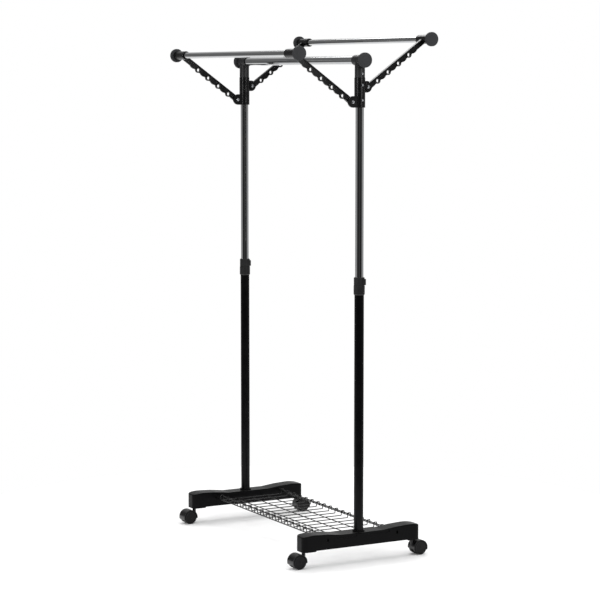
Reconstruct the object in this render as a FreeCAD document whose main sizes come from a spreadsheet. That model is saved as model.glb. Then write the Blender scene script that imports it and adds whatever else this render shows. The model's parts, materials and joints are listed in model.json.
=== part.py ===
import FreeCAD, Part
import math
import os
import Sketcher
from FreeCAD import Placement, Rotation, Vector

# Rolling clothes rack: two telescopic posts on castored feet, a fixed middle rail, two folding side
# rails and a wire shelf. Millimetres. X runs along the rails, Y across the feet, Z up; the origin is on
# the floor, midway between the four castors.

# --------------------------------------------------------------------------------------------------
# Driving dimensions
# --------------------------------------------------------------------------------------------------
SIZES = {
    # whole rack
    "post_spacing": 740.0,        # between the axes of the two posts
    "rail_height": 1500.0,        # axis of the middle rail above the floor
    "foot_length": 406.0,
    "fit_gap": 0.05,              # radial play of a running or pushed fit
    "free_gap": 0.3,              # gap between parts that pass each other
    "small_chamfer": 1.0,
    # posts
    "lower_tube_diameter": 28.6,
    "tube_wall": 1.0,
    "tube_play": 1.2,             # play of the upper tube in the lower one, on the diameter
    "lower_tube_top": 832.0,
    "tube_overlap": 112.0,        # length of upper tube inside the lower one
    "post_end_gap": 1.0,          # from the top of the post to the middle rail
    "plug_length": 25.0,
    "guide_flange": 8.0,
    "guide_spigot": 25.0,
    # height collar
    "collar_grip": 26.0,          # length of sleeve on the lower tube
    "collar_wall": 2.5,
    "collar_lip": 2.0,            # sleeve above the end of the lower tube
    "collar_taper": 1.6,
    "collar_taper_height": 3.0,
    "collar_spigot_wall": 0.5,
    "collar_spigot_height": 14.0,
    "collar_tube_gap": 0.6,
    "knob_height": 25.0,
    "knob_inset": 0.6,            # step in from the sleeve to the knob
    "knob_chamfer": 2.0,
    "knob_roof": 2.4,
    "knob_lug_height": 5.0,
    "knob_lug_start": 2.0,
    "knob_lug_length": 18.0,
    "knob_lug_root": 7.0,         # half widths of the thumb lug, from root to crest
    "knob_lug_shoulder": 5.0,
    "knob_lug_crest": 2.0,
    "knob_lug_slope": 3.0,
    "knob_lug_sink": 0.8,
    "knob_lug_turn": 35.0,        # degrees from the direction of the rails
    "collet_gap": 0.2,
    "collet_roof_gap": 0.6,
    "collet_flare": 0.4,
    "collet_taper": 0.6,
    "collet_slot_half": 1.0,
    # foot
    "foot_width": 52.0,
    "wheel_room": 7.0,            # from the top of a wheel to the underside of the foot
    "foot_height": 42.5,          # at the post
    "hump_height": 50.0,          # at the top of the raised ends
    "hump_crown_radius": 150.0,
    "hump_shoulder_drop": 2.0,
    "foot_end_height": 45.5,
    "arch_rise": 3.0,             # step of the underside between the end blocks
    "end_block_length": 41.0,
    "block_slope": 4.0,           # run of the sloping face of the step
    "hump_peak_inset": 47.0,      # highest point of the raised end, from the end of the foot
    "hump_start_inset": 84.0,     # where the raised end begins
    "saddle_length": 144.0,       # level stretch of the top at the post
    "foot_corner": 15.0,
    "foot_edge_round": 3.0,
    "socket_floor_height": 18.0,
    "post_socket_wall": 4.2,
    "socket_rim": 4.0,
    "rim_root": 6.0,
    "foot_wall": 3.5,
    "hollow_end_wall": 6.0,
    "post_boss_wall": 4.0,
    "side_step_gap": 2.0,         # from the socket to the start of the step in the side
    "side_step_end": 25.0,        # from the end of the step to the start of the raised end
    "side_step_depth": 2.0,
    "side_step_drop": 10.0,
    "side_step_rise": 12.0,
    "wire_notch_half": 4.0,
    "wire_notch_rise": 6.0,
    "post_bolt_diameter": 8.0,
    "bolt_head_diameter": 13.0,
    "bolt_head_height": 5.5,
    "bolt_head_gap": 1.5,
    "bolt_seat_wall": 6.0,
    "bolt_end_gap": 3.0,
    # castor
    "wheel_diameter": 43.0,
    "wheel_width": 14.0,
    "trail_inset": 0.5,           # how much the trail is less than the wheel's radius
    "stem_inset": 14.0,           # swivel axis from the end of the foot
    "stem_diameter": 8.0,
    "stem_height": 30.0,          # length of stem inside the foot
    "stem_end_gap": 2.0,
    "stem_seat": 14.0,
    "stem_seat_gap": 0.5,
    "hood_thickness": 1.6,
    "hood_web": 9.0,
    "hood_low_line": 7.0,         # open edge of the hood below the axle, and how it slopes
    "hood_front_drop": 3.0,
    "hood_back_rise": 5.0,
    "wheel_gap": 0.9,
    "axle_diameter": 6.0,
    "axle_end_gap": 2.5,
    "neck_diameter": 11.0,
    "neck_root": 6.0,
    "swivel_gap": 0.6,
    "tread_round": 2.2,
    "tread_inner_round": 1.2,
    "wheel_rim_width": 2.3,
    "wheel_dish_slope": 1.0,
    "wheel_dish": 0.9,
    "hub_face_radius": 4.2,
    "hub_slope": 0.8,
    "hub_wall": 1.6,
    # shelf
    "shelf_inset": 82.5,          # outer rim wire from the end of the foot
    "rim_wire_diameter": 3.6,
    "shelf_wire_diameter": 3.0,
    "shelf_end_gap": 24.0,        # from the foot to the first cross wire
    "long_wire_pitch": 54.0,
    "shelf_height": 26.0,         # above the underside of the feet
    "shelf_rim_height": 15.0,
    "low_rim_lift": 3.5,
    "rim_hook_width": 13.4,
    "hook_leg_lift": 2.0,
    "wire_weld": 0.2,             # how far crossing wires melt into each other
    "wire_bend": 2.6,
    "rim_end_gap": 3.0,
    "inner_rim_inset": 8.0,
    "long_wire_end_gap": 8.0,
    # middle rail and its tees
    "tee_wall": 2.8,
    "tee_stem_wall": 2.5,
    "tee_inboard": 25.0,
    "tee_outboard": 24.0,
    "tee_stem": 51.0,             # from the axis of the rail to the top of the hinge rings
    "tee_screw_lift": 12.0,
    "rail_end_gap": 4.0,
    "tee_cap_lip": 6.75,
    "tee_cap_spigot": 16.0,
    "cap_thickness": 12.0,
    "cap_spigot_chamfer": 0.6,
    "cap_edge": 1.5,
    "cap_round": 4.0,
    "cap_dish_inset": 8.0,
    "cap_dish_slope": 1.0,
    "cap_dish_depth": 0.6,
    # hinge rings
    "ring_wall": 3.55,
    "ring_height": 44.0,
    "hinge_reach": 11.25,         # pivot from the face of the ring
    "ear_radius": 17.0,
    "ear_thickness": 6.0,
    "ear_root": 1.2,
    "pivot_diameter": 6.0,
    "rivet_head_diameter": 10.0,
    "rivet_head_height": 2.0,
    "rivet_head_slope": 1.6,
    "screw_diameter": 3.8,
    "screw_head_diameter": 6.8,
    "screw_head_height": 2.0,
    "screw_head_edge": 1.2,
    # folding arms and side rails
    "arm_length": 242.0,          # pivot to the axis of the side rail
    "arm_angle": 35.5,            # above the horizontal when open
    "arm_thickness": 8.0,
    "arm_gap": 0.9,               # from the round heel of the arm to the ring
    "arm_web": 4.4,
    "arm_web_start": 12.0,
    "arm_root_length": 22.0,
    "arm_root_rise": 0.4,
    "arm_end_overlap": 3.0,
    "arm_flange": 10.0,           # width of the flange along the straight edge
    "arm_flange_depth": 2.6,
    "arm_flange_gap": 2.0,
    "arm_top_edge": 8.0,          # straight edge above the line from pivot to rail
    "arm_low_edge": 9.0,
    "hole_diameter": 10.6,
    "hole_drop": 4.2,
    "first_hole": 36.5,
    "hole_tail": 29.5,            # from the last swell to the rail
    "boss_radius": 9.0,
    "swell_gap": 2.5,
    "swell_low": 1.0,
    "swell_top_drop": 7.0,
    "swell_slant": 3.0,
    "swell_radius": 18.5,
    "swell_step": 1.6,
    "side_rail_diameter": 19.0,
    "side_rail_wall": 0.9,
    "side_rail_end_gap": 9.0,
    "rail_socket_wall": 4.0,
    "rail_socket_inboard": 32.0,
    "rail_socket_outboard": 33.0,
    "rail_socket_chamfer": 0.8,
    "side_cap_lip": 7.75,
    "side_cap_spigot": 8.0,
}
HOLE_COUNT = 4
CROSS_WIRE_COUNT = 17
CUT_OVER = 1.0          # how far a cut runs past the face it starts from
CUT_CLEAR = 40.0        # a cut this long passes right through a castor
ARC_SLACK = 0.001       # lets a half circle be held by its two ends and its radius
SAME = 0.1              # two places this near are one

doc = FreeCAD.newDocument("clothes_rack")
sheet = doc.addObject("Spreadsheet::Sheet", "Sizes")
for row, (alias, number) in enumerate(SIZES.items(), start=1):
    sheet.set("A%d" % row, alias)
    sheet.set("B%d" % row, str(number))
    sheet.setAlias("B%d" % row, alias)
doc.recompute()

nodes = []


# --------------------------------------------------------------------------------------------------
# Sizes that are known both as a number and as the sheet expression that gives them
# --------------------------------------------------------------------------------------------------
class Size:
    def __init__(self, number, text):
        self.number = number
        self.text = text

    def __add__(self, other):
        other = size(other)
        return Size(self.number + other.number, "(%s + %s)" % (self.text, other.text))

    def __sub__(self, other):
        other = size(other)
        return Size(self.number - other.number, "(%s - %s)" % (self.text, other.text))

    def __mul__(self, other):
        other = size(other)
        return Size(self.number * other.number, "(%s * %s)" % (self.text, other.text))

    def __truediv__(self, other):
        other = size(other)
        return Size(self.number / other.number, "(%s / %s)" % (self.text, other.text))

    def __neg__(self):
        return self * -1.0

    __radd__ = __add__
    __rmul__ = __mul__


def size(value):
    if isinstance(value, Size):
        return value
    return Size(float(value), repr(float(value)))


def sine(angle):
    return Size(math.sin(math.radians(angle.number)), "sin(%s)" % angle.text)


def cosine(angle):
    return Size(math.cos(math.radians(angle.number)), "cos(%s)" % angle.text)


class SheetSizes:
    def __getattr__(self, alias):
        return Size(SIZES[alias], "Sizes." + alias)


s = SheetSizes()

# Posts and collar
post_x = s.post_spacing / 2
lower_radius = s.lower_tube_diameter / 2
lower_bore = lower_radius - s.tube_wall
upper_radius = lower_bore - s.tube_play / 2
upper_bore = upper_radius - s.tube_wall
upper_bottom = s.lower_tube_top - s.tube_overlap
upper_top = s.rail_height - upper_radius - s.post_end_gap
collar_radius = lower_radius + s.collar_wall
collar_bottom = s.lower_tube_top - s.collar_grip
collar_seam = s.lower_tube_top + s.collar_lip
collar_top = collar_seam + s.knob_height
collar_spigot = lower_radius + s.collar_spigot_wall
collar_spigot_top = collar_seam + s.collar_spigot_height

# Feet, castors and shelf
wheel_radius = s.wheel_diameter / 2
castor_trail = wheel_radius - s.trail_inset
foot_base = s.wheel_diameter + s.wheel_room
foot_top = foot_base + s.foot_height
hump_top = foot_base + s.hump_height
foot_half = s.foot_length / 2
foot_inner = post_x - s.foot_width / 2
hump_start = foot_half - s.hump_start_inset
swivel_y = foot_half - s.stem_inset
socket_floor = foot_base + s.socket_floor_height
socket_radius = lower_radius + s.post_socket_wall
bolt_seat = socket_floor - s.bolt_seat_wall
shelf_level = foot_base + s.shelf_height
shelf_half = foot_half - s.shelf_inset
rim_radius = s.rim_wire_diameter / 2
wire_radius = s.shelf_wire_diameter / 2
weld_gap = rim_radius + wire_radius - s.wire_weld
rim_high_y = shelf_half - s.rim_hook_width + weld_gap
rim_low_z = shelf_level + s.low_rim_lift
rim_high_z = shelf_level + s.shelf_rim_height - weld_gap
wire_reach = foot_inner - s.shelf_end_gap

# Tees, hinge rings and wings
ring_radius = upper_radius + s.ring_wall
ring_top = s.rail_height - s.tee_stem
ring_bottom = ring_top - s.ring_height * 2
hinge_offset = ring_radius + s.hinge_reach
near_pivot_z = ring_bottom + s.ear_radius
far_pivot_z = near_pivot_z + s.ring_height
tee_radius = upper_radius + s.tee_wall
stem_radius = upper_radius + s.tee_stem_wall
tee_screw_z = ring_top + s.tee_screw_lift
middle_rail_half = post_x + s.tee_outboard - s.rail_end_gap
pivot_radius = s.pivot_diameter / 2
rail_out = hinge_offset + s.arm_length * cosine(s.arm_angle)
rail_rise = s.arm_length * sine(s.arm_angle)
hole_pitch = (s.arm_length - s.first_hole - s.hole_tail) / HOLE_COUNT
side_rail_radius = s.side_rail_diameter / 2
side_rail_half = post_x + s.rail_socket_outboard - s.side_rail_end_gap
rail_socket_radius = side_rail_radius + s.rail_socket_wall


# --------------------------------------------------------------------------------------------------
# Building helpers
# --------------------------------------------------------------------------------------------------
def bind(thing, name, value):
    thing.setExpression(name, size(value).text)


def put(thing, x=0, y=0, z=0, rotation=None):
    """Gives a sub-part its place, bound to the sheet, and its turn."""
    place = Placement(Vector(size(x).number, size(y).number, size(z).number), rotation or Rotation())
    thing.Placement = place
    bind(thing, "Placement.Base.x", x)
    bind(thing, "Placement.Base.y", y)
    bind(thing, "Placement.Base.z", z)


def node(thing, label):
    thing.Label = label
    nodes.append(thing)
    return thing


def new_body(name):
    return doc.addObject("PartDesign::Body", name)


def new_sketch(body, role, name, offset=0):
    """A sketch on one of the body's own origin planes, moved along that plane's normal."""
    sketch = body.newObject("Sketcher::SketchObject", name)
    plane = [item for item in body.Origin.OriginFeatures if item.Role == role][0]
    sketch.AttachmentSupport = [(plane, "")]
    sketch.MapMode = "FlatFace"
    sketch.AttachmentOffset = Placement(Vector(0, 0, size(offset).number), Rotation())
    bind(sketch, "AttachmentOffset.Base.z", offset)
    return sketch


def constrain(sketch, kind, geometry, point, value):
    """Holds a point at a signed distance from the sketch's origin."""
    value = size(value)
    if value.text == "0.0":
        axis = -2 if kind == "DistanceX" else -1
        sketch.addConstraint(Sketcher.Constraint("PointOnObject", geometry, point, axis))
        return
    index = sketch.addConstraint(Sketcher.Constraint(kind, -1, 1, geometry, point, value.number))
    sketch.setExpression("Constraints[%d]" % index, value.text)


def arc_between(start, end, radius):
    """The shorter arc from start to end; a positive radius bulges to the right of the way it runs."""
    chord = end - start
    middle = (start + end) * 0.5
    left = Vector(-chord.y, chord.x, 0).normalize()
    reach = math.sqrt(max(radius * radius - chord.Length ** 2 / 4, 0))
    centre = middle + left * reach * (1 if radius > 0 else -1)
    circle = Part.Circle(centre, Vector(0, 0, 1), abs(radius))
    first, last = (start, end) if radius > 0 else (end, start)
    angles = [math.atan2(p.y - centre.y, p.x - centre.x) for p in (first, last)]
    return Part.ArcOfCircle(circle, angles[0], angles[1])


def outline(sketch, corners):
    """Closed outline through bound corners (x, y) or (x, y, radius of the arc to the next corner)."""
    points = [Vector(size(c[0]).number, size(c[1]).number, 0) for c in corners]
    edges = []
    for i, corner in enumerate(corners):
        end = points[(i + 1) % len(points)]
        if len(corner) == 2:
            geometry = sketch.addGeometry(Part.LineSegment(points[i], end), False)
            edges.append((geometry, 1, 2))
            continue
        radius = size(corner[2])
        geometry = sketch.addGeometry(arc_between(points[i], end, radius.number), False)
        edges.append((geometry, 1, 2) if radius.number > 0 else (geometry, 2, 1))
        index = sketch.addConstraint(Sketcher.Constraint("Radius", geometry, abs(radius.number)))
        sketch.setExpression("Constraints[%d]" % index, "abs(%s)" % radius.text)
    for i, (geometry, first, last) in enumerate(edges):
        following = edges[(i + 1) % len(edges)]
        sketch.addConstraint(Sketcher.Constraint("Coincident", geometry, last, following[0], following[1]))
        constrain(sketch, "DistanceX", geometry, first, corners[i][0])
        constrain(sketch, "DistanceY", geometry, first, corners[i][1])


def circle(sketch, x, y, radius):
    centre = Vector(size(x).number, size(y).number, 0)
    geometry = sketch.addGeometry(Part.Circle(centre, Vector(0, 0, 1), size(radius).number), False)
    index = sketch.addConstraint(Sketcher.Constraint("Radius", geometry, size(radius).number))
    sketch.setExpression("Constraints[%d]" % index, size(radius).text)
    constrain(sketch, "DistanceX", geometry, 3, x)
    constrain(sketch, "DistanceY", geometry, 3, y)


def box_corners(x_low, x_high, y_low, y_high):
    return [(x_low, y_low), (x_high, y_low), (x_high, y_high), (x_low, y_high)]


def pad(body, sketch, name, length, symmetric=False, reverse=False):
    feature = body.newObject("PartDesign::Pad", name)
    feature.Profile = sketch
    feature.SideType = "Symmetric" if symmetric else "One side"
    feature.Reversed = reverse
    bind(feature, "Length", length)
    doc.recompute()
    return feature


def pocket(body, sketch, name, length, symmetric=False, reverse=False):
    """A pocket that is checked to have really removed material."""
    before = body.Shape.Volume
    feature = body.newObject("PartDesign::Pocket", name)
    feature.Profile = sketch
    feature.SideType = "Symmetric" if symmetric else "One side"
    feature.Reversed = reverse
    bind(feature, "Length", length)
    doc.recompute()
    if body.Shape.Volume >= before:
        raise RuntimeError(name + " cut nothing")
    return feature


def revolve(body, sketch, name):
    feature = body.newObject("PartDesign::Revolution", name)
    feature.Profile = sketch
    feature.ReferenceAxis = (sketch, ["V_Axis"])
    feature.Angle = 360
    doc.recompute()
    return feature


def turned(name, corners):
    """A turned piece: an outline of (radius, height) corners spun about Z."""
    body = new_body(name)
    sketch = new_sketch(body, "XZ_Plane", name + "_section")
    outline(sketch, corners)
    revolve(body, sketch, name + "_turn")
    return body


def round_edges(body, name, radius, chosen):
    """Fillets the edges of the body's last feature that the test picks out."""
    feature = body.newObject("PartDesign::Fillet", name)
    base = body.Group[-2]
    picked = ["Edge%d" % (i + 1) for i, edge in enumerate(base.Shape.Edges) if chosen(edge)]
    feature.Base = (base, picked)
    bind(feature, "Radius", radius)
    doc.recompute()
    return feature


def rod(name, radius, length):
    """A plain round bar along Z."""
    bar = doc.addObject("Part::Cylinder", name)
    bind(bar, "Radius", radius)
    bind(bar, "Height", length)
    return bar


def tube(name, radius, bore, length):
    """A round tube along Z, cut open at both ends."""
    hollow = doc.addObject("Part::Cut", name)
    hollow.Base = rod(name + "_outside", radius, length)
    hollow.Tool = rod(name + "_bore", bore, length)
    return hollow


def group(name, pieces):
    together = doc.addObject("Part::Compound", name)
    together.Links = pieces
    return together


ALONG_X = Rotation(Vector(0, 1, 0), 90)
AGAINST_X = Rotation(Vector(0, 1, 0), -90)
HALF_TURN = Rotation(Vector(0, 0, 1), 180)
SIDES = (("left", -1), ("right", 1))
DEPTHS = (("near", -1), ("far", 1))


def facing(hand):
    """Turn of a piece that is drawn for the right-hand end."""
    return Rotation() if hand > 0 else HALF_TURN


def outboard(hand):
    """Turn of a piece that is drawn upright and lies along the rails, pointing away from the middle."""
    return ALONG_X if hand > 0 else AGAINST_X


# --------------------------------------------------------------------------------------------------
# Feet
# --------------------------------------------------------------------------------------------------
def foot_profile():
    """Side view of the foot: raised rounded ends, a level saddle at the post, an arched underside."""
    block = foot_half - s.end_block_length
    arch = foot_base + s.arch_rise
    crown = s.hump_crown_radius
    saddle = s.saddle_length / 2
    peak = foot_half - s.hump_peak_inset
    shoulder = hump_top - s.hump_shoulder_drop
    end = foot_base + s.foot_end_height
    right = [(block - s.block_slope, arch), (block, foot_base), (foot_half, foot_base),
             (foot_half, end, crown), (peak, hump_top), (hump_start, shoulder), (saddle, foot_top)]
    left = [(-saddle, foot_top), (-hump_start, shoulder), (-peak, hump_top, crown), (-foot_half, end),
            (-foot_half, foot_base), (-block, foot_base), (-(block - s.block_slope), arch)]
    return right + left


def soften_foot(body, label):
    """Rounds the foot's four upright corners, then the two long edges of its top."""
    half_length = foot_half.number
    half_width = SIZES["foot_width"] / 2
    lowest_top = foot_top.number - SIZES["small_chamfer"]

    def upright_corner(edge):
        upright = edge.BoundBox.ZLength > SIZES["foot_corner"]
        return upright and abs(abs(edge.CenterOfMass.y) - half_length) < SAME

    def long_top_edge(edge):
        middle = edge.CenterOfMass
        at_side = abs(middle.x) > half_width - SIZES["foot_corner"] / 2
        lengthways = edge.BoundBox.YLength > SIZES["foot_edge_round"]
        return middle.z > lowest_top and at_side and lengthways

    round_edges(body, label + "_round_ends", s.foot_corner, upright_corner)
    round_edges(body, label + "_soft_top", s.foot_edge_round, long_top_edge)


def post_mounting(body, label):
    """Socket with a raised rim for the post, and the bolt hole with a recess for the bolt's head."""
    rim = new_sketch(body, "XY_Plane", label + "_rim_view", foot_top - s.rim_root)
    circle(rim, 0, 0, socket_radius)
    pad(body, rim, label + "_rim", s.socket_rim + s.rim_root)
    socket = new_sketch(body, "XY_Plane", label + "_socket_view", socket_floor)
    circle(socket, 0, 0, lower_radius + s.fit_gap)
    pocket(body, socket, label + "_socket", hump_top - socket_floor + s.socket_rim, reverse=True)
    bolt = new_sketch(body, "XY_Plane", label + "_bolt_view", foot_base)
    circle(bolt, 0, 0, s.post_bolt_diameter / 2 + s.free_gap)
    pocket(body, bolt, label + "_bolt_hole", socket_floor - foot_base + CUT_OVER, reverse=True)
    head = new_sketch(body, "XY_Plane", label + "_head_view", foot_base)
    circle(head, 0, 0, s.bolt_head_diameter / 2 + s.bolt_head_gap)
    pocket(body, head, label + "_head_recess", bolt_seat - foot_base, reverse=True)


def foot_hollows(body, label):
    """The two hollows of the underside, and the bores for the castor stems."""
    hollows = new_sketch(body, "XY_Plane", label + "_hollow_view", foot_base)
    half_width = s.foot_width / 2 - s.foot_wall
    outer = foot_half - s.end_block_length - s.hollow_end_wall
    inner = socket_radius + s.post_boss_wall
    for low, high in ((inner, outer), (-outer, -inner)):
        outline(hollows, box_corners(-half_width, half_width, low, high))
    pocket(body, hollows, label + "_hollows", foot_top - s.foot_wall - foot_base, reverse=True)
    stems = new_sketch(body, "XY_Plane", label + "_stem_view", foot_base)
    for side in (-1, 1):
        circle(stems, 0, swivel_y * side, s.stem_diameter / 2 + s.fit_gap)
    pocket(body, stems, label + "_stem_bores", s.stem_height + s.stem_end_gap, reverse=True)


def shelf_holes(body, label):
    """Holes in the inboard face for the rim wires of the shelf, and notches opposite them."""
    slots = new_sketch(body, "YZ_Plane", label + "_wire_view", -s.foot_width / 2 - CUT_OVER)
    for side in (-1, 1):
        circle(slots, shelf_half * side, rim_low_z, rim_radius + s.fit_gap)
        circle(slots, rim_high_y * side, rim_high_z, rim_radius + s.fit_gap)
    pocket(body, slots, label + "_wire_holes", s.foot_width - s.foot_wall + CUT_OVER, reverse=True)
    notches = new_sketch(body, "YZ_Plane", label + "_notch_view", s.foot_width / 2)
    for side in (-1, 1):
        middle = shelf_half * side
        outline(notches, box_corners(middle - s.wire_notch_half, middle + s.wire_notch_half,
                                     rim_low_z - s.wire_notch_half, rim_low_z + s.wire_notch_rise))
    pocket(body, notches, label + "_notches", s.foot_wall + CUT_OVER)


def side_steps(body, label):
    """Shallow steps along the upper edge of the outboard face, either side of the post."""
    steps = new_sketch(body, "YZ_Plane", label + "_step_view", s.foot_width / 2)
    start = socket_radius + s.side_step_gap
    end = hump_start - s.side_step_end
    for low, high in ((start, end), (-end, -start)):
        outline(steps, box_corners(low, high, foot_top - s.side_step_drop, foot_top + s.side_step_rise))
    pocket(body, steps, label + "_steps", s.side_step_depth)


def foot(label, hand):
    """Moulded foot beam: castor bores in the end blocks, a post socket and a hollow underside."""
    body = new_body(label)
    sketch = new_sketch(body, "YZ_Plane", label + "_side_view")
    outline(sketch, foot_profile())
    pad(body, sketch, label + "_beam", s.foot_width, symmetric=True)
    soften_foot(body, label)
    post_mounting(body, label)
    foot_hollows(body, label)
    shelf_holes(body, label)
    side_steps(body, label)
    put(body, post_x * hand, 0, 0, facing(hand))
    return node(body, label)


# --------------------------------------------------------------------------------------------------
# Wire shelf
# --------------------------------------------------------------------------------------------------
def straight_wire(name, radius, half_length, y, z):
    wire = rod(name, radius, half_length * 2)
    put(wire, -half_length, y, z, ALONG_X)
    return wire


def shelf_rim(label, side):
    """Two long wires that carry one edge of the shelf; their ends are held in the feet."""
    reach = foot_inner + s.foot_width - s.foot_wall - s.rim_end_gap
    low = straight_wire(label + "_outer", rim_radius, reach, shelf_half * side, rim_low_z)
    high = straight_wire(label + "_inner", rim_radius, reach - s.inner_rim_inset, rim_high_y * side,
                         rim_high_z)
    return node(group(label, [low, high]), label)


def long_wires():
    level = shelf_level - s.shelf_wire_diameter + s.wire_weld
    reach = foot_inner - s.long_wire_end_gap
    wires = []
    for number, column in enumerate((-1, 0, 1), start=1):
        name = "long_wire_%d" % number
        wires.append(straight_wire(name, wire_radius, reach, s.long_wire_pitch * column, level))
    return node(group("shelf_long_wires", wires), "shelf_long_wires")


def cross_wire_path():
    """Centre line of one cross wire: flat floor, riser, outward step and a short leg down."""
    leg = shelf_half - weld_gap
    riser = shelf_half - s.rim_hook_width
    top = shelf_level + s.shelf_rim_height
    half = [(riser, shelf_level), (riser, top), (leg, top), (leg, shelf_level + s.hook_leg_lift)]
    return [(-y, z) for y, z in reversed(half)] + half


def wire_along(points, radius, bend):
    """A round wire through the points, with every corner bent to the same radius."""
    corners = [Vector(0, size(y).number, size(z).number) for y, z in points]
    edges = []
    start = corners[0]
    for before, corner, after in zip(corners, corners[1:], corners[2:]):
        into = (corner - before).normalize()
        out = (after - corner).normalize()
        first = corner - into * bend
        last = corner + out * bend
        middle = corner + (out - into) * (bend * (1 - math.sqrt(0.5)))
        edges.append(Part.LineSegment(start, first).toShape())
        edges.append(Part.Arc(first, middle, last).toShape())
        start = last
    edges.append(Part.LineSegment(start, corners[-1]).toShape())
    path = Part.Wire(edges)
    section = Part.Wire([Part.Circle(corners[0], corners[1] - corners[0], radius).toShape()])
    return path.makePipeShell([section], True, False)


def cross_wires():
    """The evenly spaced cross wires, all bent alike."""
    single = wire_along(cross_wire_path(), wire_radius.number, SIZES["wire_bend"])
    pitch = wire_reach.number * 2 / (CROSS_WIRE_COUNT - 1)
    wires = []
    for number in range(CROSS_WIRE_COUNT):
        wire = single.copy()
        wire.translate(Vector(number * pitch - wire_reach.number, 0, 0))
        wires.append(wire)
    feature = doc.addObject("Part::Feature", "shelf_cross_wires")
    feature.Shape = Part.makeCompound(wires)
    feature.Placement = Placement()
    return node(feature, "shelf_cross_wires")


# --------------------------------------------------------------------------------------------------
# Posts, collars and their hidden pieces
# --------------------------------------------------------------------------------------------------
def lower_tube(label, hand):
    part = tube(label, lower_radius, lower_bore, s.lower_tube_top - socket_floor)
    put(part, post_x * hand, 0, socket_floor)
    return node(part, label)


def upper_tube(label, hand):
    part = tube(label, upper_radius, upper_bore, upper_top - upper_bottom)
    put(part, post_x * hand, 0, upper_bottom)
    return node(part, label)


def post_plug(name, hand):
    """Plug in the foot of the lower tube that takes the bolt from below."""
    part = tube(name, lower_bore - s.fit_gap, s.post_bolt_diameter / 2, s.plug_length)
    put(part, post_x * hand, 0, socket_floor)
    return part


def post_bolt(name, hand):
    """Bolt up through the foot into the plug."""
    head = s.bolt_head_diameter / 2
    shank = s.post_bolt_diameter / 2
    tip = s.bolt_seat_wall + s.plug_length - s.bolt_end_gap
    part = turned(name, [(0, -s.bolt_head_height), (head, -s.bolt_head_height), (head, 0), (shank, 0),
                         (shank, tip), (0, tip)])
    put(part, post_x * hand, 0, bolt_seat)
    return part


def guide_plug(name, hand):
    """Sliding plug that centres the upper tube in the lower one."""
    outside = lower_bore - s.fit_gap
    inside = upper_bore - s.fit_gap
    low = -s.guide_flange
    high = s.guide_spigot
    edge = s.small_chamfer
    part = turned(name, [(0, low), (outside - edge, low), (outside, low + edge), (outside, 0),
                         (inside, 0), (inside, high - edge), (inside - edge, high), (0, high)])
    put(part, post_x * hand, 0, upper_bottom)
    return part


def collar_sleeve(label, hand):
    """Sleeve pushed over the lower tube, with a spigot that the knob turns on."""
    bore = lower_radius + s.fit_gap
    lip_bore = upper_radius + s.collar_tube_gap
    part = turned(label, [
        (bore, collar_bottom), (collar_radius - s.collar_taper, collar_bottom),
        (collar_radius, collar_bottom + s.collar_taper_height),
        (collar_radius, collar_seam - s.small_chamfer), (collar_radius - s.small_chamfer, collar_seam),
        (collar_spigot, collar_seam), (collar_spigot, collar_spigot_top),
        (lip_bore, collar_spigot_top), (lip_bore, s.lower_tube_top), (bore, s.lower_tube_top)])
    put(part, post_x * hand, 0, 0)
    return node(part, label)


def grip_collet(label, hand):
    """Split ring that the knob squeezes onto the upper tube."""
    low = collar_spigot_top + s.collet_gap
    high = collar_top - s.knob_roof - s.collet_roof_gap
    wide = lower_radius + s.collet_flare
    bore = upper_radius + s.fit_gap
    body = turned(label, [(bore, low), (wide, low), (wide - s.collet_taper, high), (bore, high)])
    slot = new_sketch(body, "XY_Plane", label + "_slot_view", low - CUT_OVER)
    outline(slot, box_corners(0, collar_radius, -s.collet_slot_half, s.collet_slot_half))
    pocket(body, slot, label + "_slot", high - low + CUT_OVER * 2, reverse=True)
    put(body, post_x * hand, 0, 0)
    return node(body, label)


def collar_knob(label, hand):
    """Twist knob with a thumb lug; a quarter turn locks the height."""
    outside = collar_radius - s.knob_inset
    bore = collar_spigot + s.free_gap
    hole = upper_radius + s.free_gap
    low = collar_seam + s.free_gap
    roof = collar_top - s.knob_roof
    edge = s.knob_chamfer
    body = turned(label, [
        (bore, low), (outside, low), (outside, collar_top - edge), (outside - edge, collar_top),
        (hole, collar_top), (hole, roof), (bore, roof)])
    lug = new_sketch(body, "XY_Plane", label + "_lug_view", low + s.knob_lug_start)
    sunk = outside - s.knob_lug_sink
    reach = outside + s.knob_lug_height
    shoulder = reach - s.knob_lug_slope
    outline(lug, [(sunk, -s.knob_lug_root), (shoulder, -s.knob_lug_shoulder), (reach, -s.knob_lug_crest),
                  (reach, s.knob_lug_crest), (shoulder, s.knob_lug_shoulder), (sunk, s.knob_lug_root)])
    pad(body, lug, label + "_lug", s.knob_lug_length)
    put(body, post_x * hand, 0, 0, Rotation(Vector(0, 0, 1), SIZES["knob_lug_turn"]))
    bind(body, "Placement.Rotation.Angle", s.knob_lug_turn)
    return node(body, label)


# --------------------------------------------------------------------------------------------------
# Middle rail, tees and caps
# --------------------------------------------------------------------------------------------------
def end_cap(label, edge, spigot_radius, spigot_length):
    """Round end cap with a softened rim and a spigot; it is drawn face up."""
    thick = s.cap_thickness
    chamfer = s.cap_spigot_chamfer
    dish = edge - s.cap_dish_inset
    floor = thick - s.cap_dish_depth
    return turned(label, [
        (0, -spigot_length), (spigot_radius - chamfer, -spigot_length),
        (spigot_radius, -spigot_length + chamfer), (spigot_radius, 0), (edge - s.cap_edge, 0),
        (edge, s.cap_edge), (edge, thick - s.cap_round, s.cap_round), (edge - s.cap_round, thick),
        (dish, thick), (dish - s.cap_dish_slope, floor), (0, floor)])


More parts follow.
